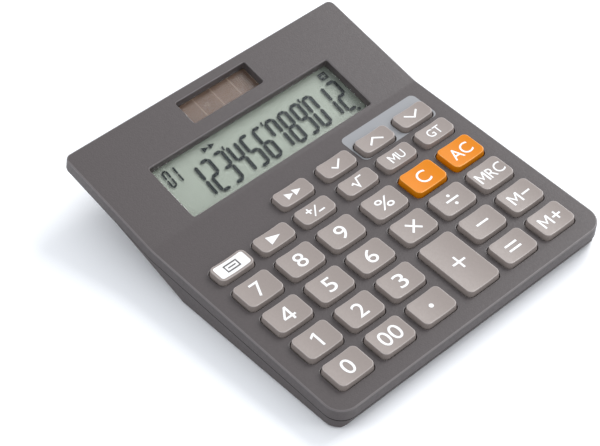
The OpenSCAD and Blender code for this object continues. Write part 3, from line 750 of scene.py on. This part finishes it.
def capital_m(x, height, width, thick):
    """A capital M from its two uprights and a folded stroke between them."""
    h, w = height / 2, width / 2 - thick / 2
    lean = thick * 0.62
    return [bar(x - w, 0, thick, height), bar(x + w, 0, thick, height),
            [(x - w + thick / 2, h - lean * 2), (x, -h * 0.55), (x + w - thick / 2, h - lean * 2),
             (x + w - thick / 2, h), (x + w - lean, h), (x, -h * 0.55 + lean * 2.3),
             (x - w + lean, h), (x - w + thick / 2, h)]]


INK_W = 0.8
SIGNS = {
    "key_1": [[(0.1, -2.95), (0.95, -2.95), (0.95, 2.95), (0.25, 2.95), (-1.35, 2.05),
               (-1.35, 1.2), (0.1, 1.95)]],
    "key_4": [bar(0.95, 0, 0.85, 5.9), [(0.525, 2.95), (-2.4, -0.85), (-2.4, -1.7),
                                       (0.525, -1.7), (0.525, -0.95), (-1.5, -0.95), (0.525, 1.7)],
              bar(1.85, -1.325, 0.95, 0.75)],
    "key_memory_minus": capital_m(-2.3, 4.6, 4.7, 0.75) + [bar(2.75, 0.0, 3.6, 0.7)],
    "key_memory_plus": capital_m(-2.3, 4.6, 4.7, 0.75) + [plus(2.75, 0.0, 3.6, 0.7)],
    "key_plus": [plus(0, 0, 5.6, INK_W)],
    "key_minus": [bar(0, 0, 5.4, INK_W)],
    "key_equals": [bar(0, 1.15, 5.4, INK_W), bar(0, -1.15, 5.4, INK_W)],
    "key_multiply": [turned(plus(0, 0, 6.0, INK_W), 45)],
    "key_divide": [bar(0, 0, 5.6, INK_W), dot(0, 2.1, 0.62), dot(0, -2.1, 0.62)],
    "key_point": [dot(0, 0, 0.85)],
    "key_back": [[(-2.4, -1.9), (2.6, 0), (-2.4, 1.9)]],
    "key_root": [stroke([(-2.7, 0.0), (-1.8, 0.5), (-0.7, -1.9), (0.6, 1.9), (2.9, 1.9)], 0.6)],
    "key_sign": [plus(-1.9, 1.0, 2.6, 0.6), stroke([(-1.5, -2.0), (1.7, 2.0)], 0.5),
                 bar(2.1, -1.2, 2.6, 0.6)],
    "key_step_up": [stroke([(-3.0, -1.3), (0, 1.2), (3.0, -1.3)], 0.7)],
    "key_step_down": [stroke([(-3.0, 1.3), (0, -1.2), (3.0, 1.3)], 0.7)],
    "key_auto_review": [[(x, -1.5), (x + 3.0, 0), (x, 1.5)] for x in (-3.2, 0.2)],
    "key_correct": [stroke([(-2.2, 0.0), (-0.6, -1.4), (2.6, 1.6)], 0.65)]}
for key, outlines in SIGNS.items():
    lay_ink(drawing(outlines), key.replace("key_", "mark_"), key, WHITE_PRINT)
lay_ink(drawing(capital_m(-3.7, 4.6, 4.5, 0.75)), "mark_memory_recall_m", "key_memory_recall",
        WHITE_PRINT)
lay_ink(drawing(capital_m(-1.5, 3.6, 3.5, 0.6)), "mark_mark_up_m", "key_mark_up", WHITE_PRINT)
print("printed", len(SIGNS), "keys with signs")

# %% [markdown]
# One grey key carries a white printed patch with a grey mark: a plain screen outline. The
# patch is cut into strips, because a single wide polygon would bridge the dish. The mark
# is a second ink, so it stands out twice as far.

# %% The white patch
PATCH_W, PATCH_D, PATCH_R = 12.4, 5.6, 0.9
PATCH_STRIPS = 16


def patch_drawing():
    outline = rounded_ring(PATCH_W, PATCH_D, PATCH_R, corner=6, side=1)
    mesh = drawing([outline])
    for k in range(1, PATCH_STRIPS):
        cut = -PATCH_W / 2 + PATCH_W * k / PATCH_STRIPS
        cut_across(mesh, (cut, 0, 0), (1, 0, 0))
    mesh.verts.index_update()
    return mesh


lay_ink(patch_drawing(), "patch_display", "key_display", WHITE_PRINT)
screen = [bar(0, 1.35, 5.6, 0.5), bar(0, -1.35, 5.6, 0.5),
          bar(-2.55, 0, 0.5, 2.2), bar(2.55, 0, 0.5, 2.2), bar(0, 0, 3.2, 0.5)]
lay_ink(drawing(screen), "mark_display", "key_display", GREY_PRINT, rise=2 * INK_T)
print("patch", PATCH_W, "by", PATCH_D, "mm")

# %% [markdown]
# ## The label round the two step keys
# It is a thin printed film that lies on the face, with two openings for its keys. It is
# made as the case is: rings for its edge and for each opening, and a face with holes.

# %% The label film
label_low, label_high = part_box("step_label")
LABEL_W = (label_high.x - label_low.x) / MM
LABEL_D = (label_high.y - label_low.y) / MM / math.cos(KEYPAD_TILT)
LABEL_X = (label_low.x + label_high.x) / 2 / MM
LABEL_A = ((label_low.y + label_high.y) / 2 / MM - FRONT_Y) / math.cos(KEYPAD_TILT)
LABEL_TOP, LABEL_UNDER, LABEL_R = 0.06, -0.05, 2.2
HOLE_SPARE = 1.1      # how much wider a hole in the label is than the key's top


def label_mesh():
    mesh = bmesh.new()
    edge = (LABEL_X, LABEL_A, LABEL_W, LABEL_D, LABEL_R)
    stacks = [skin(mesh, [opening_ring(edge, 0, LABEL_TOP), opening_ring(edge, 0, LABEL_UNDER)])]
    for name in ("key_step_up", "key_step_down"):
        x, a, width, depth = PLACES[name]
        hole = (x, a, width + HOLE_SPARE, depth + HOLE_SPARE, KEY_R + KEY_GAP)
        stacks.append(skin(mesh, [opening_ring(hole, RIM_R, LABEL_TOP),
                                  opening_ring(hole, RIM_R, LABEL_UNDER)]))
    face_with_holes(mesh, [stack[0] for stack in stacks])
    face_with_holes(mesh, [stack[-1] for stack in stacks])
    lay_on_face(mesh)
    return mesh


label = finish_piece(label_mesh(), "label_film", "case", LABEL)
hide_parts("step_label")
print("label", round(LABEL_W, 1), "by", round(LABEL_D, 1), "mm")

# %% [markdown]
# ## The liquid crystal display
# A display is two sheets of glass with a reflector behind them. The dark segments sit in
# the glass, a little above the reflector, so they drop a soft shadow on it, which is what
# makes a display look deep. Painting digits on a plate loses that shadow. Here the
# reflector is a plate with its own finish and each segment is a thin solid above it.

# %% The reflector
REFLECTOR = finish_material("display reflector", (139, 146, 135), tone=0.97, grain=5200.0,
                            mottle=40.0, rough=(0.5, 0.6), depth=0.12, shine=0.3)
GLASS_TOP = -3.95
REFLECTOR_TOP = -4.35
glass_low, glass_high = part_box("lcd_front_glass")
PANEL_W = (glass_high.x - glass_low.x) / MM
PANEL_D = 26.6
PANEL_LOW = -6.1
PANEL_EDGE, PANEL_R = 0.15, 0.4
panel_mesh = bmesh.new()
panel_place = (0, KEYPAD_LEN + LCD["s"], PANEL_W, PANEL_D, PANEL_R)
panel_stack = skin(panel_mesh, [
    [on_face(*p) for p in opening_ring(panel_place, grow, height, corner=3)]
    for grow, height in ((-PANEL_EDGE, REFLECTOR_TOP), (0, REFLECTOR_TOP - PANEL_EDGE),
                         (0, PANEL_LOW))])
panel_mesh.faces.new(panel_stack[0])
panel_mesh.faces.new(panel_stack[-1])
panel = finish_piece(panel_mesh, "display_panel", "case", REFLECTOR)
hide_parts("lcd_front_glass", "lcd_rear_glass")
print("reflector", round(PANEL_W, 1), "by", PANEL_D, "mm")

# %% [markdown]
# ## Seven segments
# Each digit is seven bars with pointed ends, all leaning a little to the right. The bars
# are worked out once for an upright digit of the right size, and then sheared. A segment
# is named by its usual letter, `a` at the top and on round to `g` in the middle.

# %% Segments
LEAN = math.tan(math.radians(3.5))
SEGMENT_T = 0.03
SEGMENTS_OF = {"0": "abcdef", "1": "bc", "2": "abged", "3": "abgcd", "4": "fgbc",
               "5": "afgcd", "6": "afgedc", "7": "abcf", "8": "abcdefg", "9": "abcdfg"}


def segment_outlines(figure, right, low, width, height, thick, gap):
    """Outlines of a digit's segments; right is its right edge at the middle height."""
    left, mid, t = right - width, low + height / 2, thick / 2
    x0, x1, y0, y2 = left + t, right - t, low + t, low + height - t
    lines = {"a": ((x0, y2), (x1, y2)), "b": ((x1, mid), (x1, y2)), "c": ((x1, y0), (x1, mid)),
             "d": ((x0, y0), (x1, y0)), "e": ((x0, y0), (x0, mid)), "f": ((x0, mid), (x0, y2)),
             "g": ((x0, mid), (x1, mid))}
    outlines = []
    for letter in SEGMENTS_OF[figure]:
        (ax, ay), (bx, by) = lines[letter]
        if ay == by:
            ax, bx = ax + gap, bx - gap
            shape = [(ax, ay), (ax + t, ay - t), (bx - t, by - t), (bx, by),
                     (bx - t, by + t), (ax + t, ay + t)]
        else:
            ay, by = ay + gap, by - gap
            shape = [(ax, ay), (ax + t, ay + t), (bx + t, by - t), (bx, by),
                     (bx - t, by - t), (ax - t, ay + t)]
        outlines.append([(x + (y - mid) * LEAN, y) for x, y in shape])
    return outlines


def segment_piece(outlines, name):
    """Thin dark solids that float in the display glass."""
    mesh = bmesh.new()
    for outline in outlines:
        rings = [[on_face(x, KEYPAD_LEN + s, n) for x, s in outline]
                 for n in (GLASS_TOP + SEGMENT_T, GLASS_TOP)]
        stack = skin(mesh, rings)
        mesh.faces.new(stack[0])
        mesh.faces.new(stack[1])
    return finish_piece(mesh, name, "case", SEGMENT, weighted=False)


print("segments lean", round(math.degrees(math.atan(LEAN)), 1), "degrees")

# %% [markdown]
# The big figures count up from 1 and have their thousands marks; a small step counter
# stands at the left. These are only the plain figures any such display can show.

# %% What the display shows
FIGURES = "123456789012"
PITCH, FIRST_RIGHT = 5.95, -25.9
BIG = {"low": 5.05, "width": 4.7, "height": 14.75, "thick": 1.3, "gap": 0.06}
SMALL = {"low": 16.5, "width": 2.5, "height": 7.5, "thick": 0.72, "gap": 0.05}
for place, figure in enumerate(FIGURES):
    segment_piece(segment_outlines(figure, FIRST_RIGHT + PITCH * place, **BIG),
                  f"digit_{place + 1:02d}")
segment_piece(segment_outlines("0", -35.2, **SMALL) + segment_outlines("1", -32.2, **SMALL),
              "step_counter")
ticks = [[(x, 18.4), (x + 0.55, 18.6), (x + 0.95, 20.3), (x + 0.1, 20.3)]
         for x in (-13.3, 4.7, 22.5)]
segment_piece(ticks + [dot(38.6, 4.35, 0.7, sides=12)], "point_and_ticks")
FLAG_AT, FLAG_HALF, CROSS_HALF, CROSS_T = (37.7, 22.75), 1.6, 1.1, 0.27
quarter = [(CROSS_T, CROSS_T), (CROSS_HALF, CROSS_T), (CROSS_HALF, 0), (FLAG_HALF, 0),
           (FLAG_HALF, FLAG_HALF), (0, FLAG_HALF), (0, CROSS_HALF), (CROSS_T, CROSS_HALF)]
flags = [[(FLAG_AT[0] + x, FLAG_AT[1] + y) for x, y in turned(quarter, 90 * k)]
         for k in range(4)]
flags += [[(x, 21.7), (x + 2.4, 22.85), (x, 24.0)] for x in (-19.3, -16.5)]
segment_piece(flags, "display_flags")
print("display shows", FIGURES)

# %% [markdown]
# ## Clear panes
# The panes are clear acrylic. Glass that only bends light makes everything under it dark
# and noisy, because the lamps can't be found through it. So light passes straight through
# on its way to the display, and so does most of what the eye sees; the rest is a real
# clear plastic that bends and mirrors a little.

# %% Clear acrylic
STRAIGHT_SHARE = 0.7  # how much of the view passes a pane without bending


def clear_material():
    material = bpy.data.materials.new("clear acrylic")
    material.use_nodes = True
    nodes, links = material.node_tree.nodes, material.node_tree.links
    shader = nodes["Principled BSDF"]
    shader.inputs["Base Color"].default_value = (0.97, 0.985, 0.975, 1)
    shader.inputs["Transmission Weight"].default_value = 1.0
    shader.inputs["IOR"].default_value = 1.49
    place, smear = nodes.new("ShaderNodeTexCoord"), nodes.new("ShaderNodeTexNoise")
    smear.inputs["Scale"].default_value = 90.0
    spread = nodes.new("ShaderNodeMapRange")
    spread.inputs["To Min"].default_value = 0.0
    spread.inputs["To Max"].default_value = 0.02
    path, through = nodes.new("ShaderNodeLightPath"), nodes.new("ShaderNodeBsdfTransparent")
    straight = nodes.new("ShaderNodeMath")
    straight.operation = "MAXIMUM"
    straight.inputs[1].default_value = STRAIGHT_SHARE
    mix, out = nodes.new("ShaderNodeMixShader"), nodes["Material Output"]
    links.new(place.outputs["Object"], smear.inputs["Vector"])
    links.new(smear.outputs["Fac"], spread.inputs["Value"])
    links.new(spread.outputs["Result"], shader.inputs["Roughness"])
    links.new(path.outputs["Is Shadow Ray"], straight.inputs[0])
    links.new(straight.outputs["Value"], mix.inputs["Fac"])
    links.new(shader.outputs["BSDF"], mix.inputs[1])
    links.new(through.outputs["BSDF"], mix.inputs[2])
    links.new(mix.outputs["Shader"], out.inputs["Surface"])
    return material


CLEAR = clear_material()
print("panes let", STRAIGHT_SHARE, "of the view straight through")

# %% [markdown]
# ## The solar cell
# A small solar cell is four brown strips of coated glass with fine pale lines between
# them. The lines run at fixed places across the cell, so the material measures how far a
# point is from the nearest line and mixes in a paler colour there.

# %% Solar cell
CELL_STRIPS = 4


def solar_material():
    material = finish_material("solar cell", (104, 82, 68), tone=0.8, grain=1500.0,
                               mottle=160.0, rough=(0.2, 0.28), depth=0.03, coat=0.1)
    nodes, links = material.node_tree.nodes, material.node_tree.links
    shader = nodes["Principled BSDF"]
    finish = [n for n in nodes if n.type == "GROUP"][0]
    place, split = nodes.new("ShaderNodeTexCoord"), nodes.new("ShaderNodeSeparateXYZ")
    wave = nodes.new("ShaderNodeMath")
    wave.operation = "PINGPONG"
    wave.inputs[1].default_value = SOLAR["w"] * MM / CELL_STRIPS / 2
    shift = nodes.new("ShaderNodeMath")
    shift.operation = "ADD"
    shift.inputs[1].default_value = SOLAR["w"] * MM
    near = nodes.new("ShaderNodeMapRange")
    near.inputs["From Min"].default_value = 0.15 * MM
    near.inputs["From Max"].default_value = 0.35 * MM
    near.inputs["To Min"].default_value = 0.27
    near.inputs["To Max"].default_value = 0.0
    mix = nodes.new("ShaderNodeMix")
    mix.data_type = "RGBA"
    first, second, result = colour_sockets(mix)
    second.default_value = linear(176, 156, 138)
    links.new(place.outputs["Object"], split.inputs["Vector"])
    links.new(split.outputs["X"], shift.inputs[0])
    links.new(shift.outputs["Value"], wave.inputs[0])
    links.new(wave.outputs["Value"], near.inputs["Value"])
    links.new(near.outputs["Result"], mix.inputs["Factor"])
    links.new(finish.outputs["Colour"], first)
    links.new(result, shader.inputs["Base Color"])
    print("solar cell in", CELL_STRIPS, "strips")
    return material


# %% [markdown]
# ## The parts that keep their working shape
# The bottom half, the feet, the screws and nearly everything inside already have the
# right shape in the frame. They get their own finishes, and modifiers that weld the faces and
# break the sharp edges a little, because no moulded or cut edge is perfectly sharp.

# %% Finishes for the frame's own parts
NODE_FINISH = {
    "bottom_case": CASE, "battery_door": CASE, "display_window": CLEAR, "solar_window": CLEAR,
    "solar_cell": solar_material(),
    "lcd_holder": finish_material("white holder plastic", (226, 226, 220)),
    "lcd_connector": finish_material("connector film", (170, 118, 58), rough=(0.25, 0.35)),
    "solar_leads": finish_material("red lead sleeve", (176, 34, 28), rough=(0.3, 0.4)),
    "battery_leads": finish_material("black lead sleeve", (26, 26, 27), rough=(0.3, 0.4)),
    "main_board": finish_material("board lacquer", (24, 92, 48), tone=0.8, rough=(0.3, 0.4)),
    "chip_cover": finish_material("black resin", (22, 22, 24), rough=(0.2, 0.35)),
    "capacitor": finish_material("capacitor sleeve", (28, 34, 70), rough=(0.25, 0.35)),
    "battery_cell": finish_material("cell steel", (200, 200, 200), rough=(0.22, 0.34),
                                    metallic=1.0, depth=0.05),
    "battery_contact_plus": finish_material("contact strip", (206, 178, 116),
                                            rough=(0.25, 0.35), metallic=1.0),
    "case_screws": finish_material("screw steel", (176, 176, 180), rough=(0.28, 0.4),
                                   metallic=1.0, depth=0.1),
    "rubber_feet": finish_material("foot rubber", (34, 34, 35), rough=(0.7, 0.85), depth=0.4)}
NODE_FINISH["battery_contact_minus"] = NODE_FINISH["battery_contact_plus"]
NODE_FINISH["board_screws"] = NODE_FINISH["battery_door_screw"] = NODE_FINISH["case_screws"]
EASED = {"bottom_case": 0.3, "battery_door": 0.2, "rubber_feet": 0.35, "case_screws": 0.12,
         "battery_door_screw": 0.08, "lcd_holder": 0.2, "battery_cell": 0.25}

for name, material in NODE_FINISH.items():
    node = frame["nodes"][name]
    node.data.materials.clear()
    node.data.materials.append(material)
    if name in EASED:
        weld = node.modifiers.new("weld", "WELD")
        weld.merge_threshold = 0.00001
        bevel = node.modifiers.new("eased edges", "BEVEL")
        bevel.width = EASED[name] * MM
        bevel.segments = 3
        bevel.limit_method = "ANGLE"
        bevel.angle_limit = math.radians(40)
        bevel.harden_normals = False
        normals = node.modifiers.new("flat faces stay flat", "WEIGHTED_NORMAL")
        normals.keep_sharp = False
print("finished", len(NODE_FINISH), "frame parts,", len(EASED), "with eased edges")

# %% [markdown]
# ## A pale table, soft light and the camera
# The object stands on a plain pale table. One large soft lamp at the right and behind
# gives the shadow that falls to the left, and the sky fills it. Two small weak lamps stand
# low, where the rounded edges of the case mirror them, and draw a thin line of light there.

# %% The table
TABLE_HALF, TABLE_CELLS = 2.0, 24


def table_piece():
    mesh = bmesh.new()
    bmesh.ops.create_grid(mesh, x_segments=TABLE_CELLS, y_segments=TABLE_CELLS, size=TABLE_HALF)
    data = bpy.data.meshes.new("table")
    mesh.to_mesh(data)
    mesh.free()
    table = bpy.data.objects.new("table", data)
    bpy.context.scene.collection.objects.link(table)
    data.materials.append(finish_material("pale table", (246, 247, 249), tone=0.995,
                                          grain=400.0, mottle=6.0, rough=(0.7, 0.8), depth=0.05))
    print("table", 2 * TABLE_HALF, "m wide")


table_piece()


# %% Lamps
def soft_lamp(name, place, size, power):
    """A square lamp that faces the middle of the object."""
    lamp = bpy.data.lights.new(name, "AREA")
    lamp.shape = "SQUARE"
    lamp.size = size
    lamp.energy = power
    carrier = bpy.data.objects.new(name, lamp)
    bpy.context.scene.collection.objects.link(carrier)
    carrier.location = place
    carrier.rotation_euler = (-Vector(place)).to_track_quat("-Z", "Y").to_euler()
    print(name, "at", place, "with", power, "W")


soft_lamp("key softbox", (1.1, 0.12, 0.9), 0.8, 15.5)
soft_lamp("left edge light", (-0.9, 0.58, 0.5), 0.35, 1.5)
soft_lamp("front edge light", (0.5, -0.85, 0.5), 0.35, 1.5)
world = bpy.data.worlds.new("studio")
bpy.context.scene.world = world
world.use_nodes = True
world.node_tree.nodes["Background"].inputs["Color"].default_value = (0.93, 0.96, 1.0, 1)
world.node_tree.nodes["Background"].inputs["Strength"].default_value = 1.0
bpy.context.scene.view_settings.view_transform = "Standard"

# %% [markdown]
# ## The camera
# A long lens from above the front left corner keeps the sides nearly parallel, as in a
# product picture. Its place and its three directions are written in the keypad's own
# tilted axes and then turned by the keypad's tilt into the frame's axes.

# %% The camera
CAMERA_AT = Vector((-299.13, -223.59, 450.23))  # millimetres, from the keypad's front middle
CAMERA_RIGHT = Vector((0.73617515, -0.67632844, 0.02501994))
CAMERA_UP = Vector((0.49047273, 0.55861742, 0.66886701))
CAMERA_BACK = Vector((-0.46635036, -0.48013167, 0.74296091))
LENS = 108.6

tilt = Matrix.Rotation(KEYPAD_TILT, 3, "X")
right, up, back = (tilt @ way for way in (CAMERA_RIGHT, CAMERA_UP, CAMERA_BACK))
camera = bpy.data.objects.new("camera", bpy.data.cameras.new("camera"))
bpy.context.scene.collection.objects.link(camera)
camera.data.lens = LENS
camera.data.sensor_width = 36.0
pose = Matrix((right, up, back)).transposed().to_4x4()
pose.translation = (tilt @ CAMERA_AT + Vector((0, FRONT_Y, FACE_Z))) * MM
camera.matrix_world = pose
bpy.context.scene.camera = camera
print("camera at", [round(v, 3) for v in pose.translation])
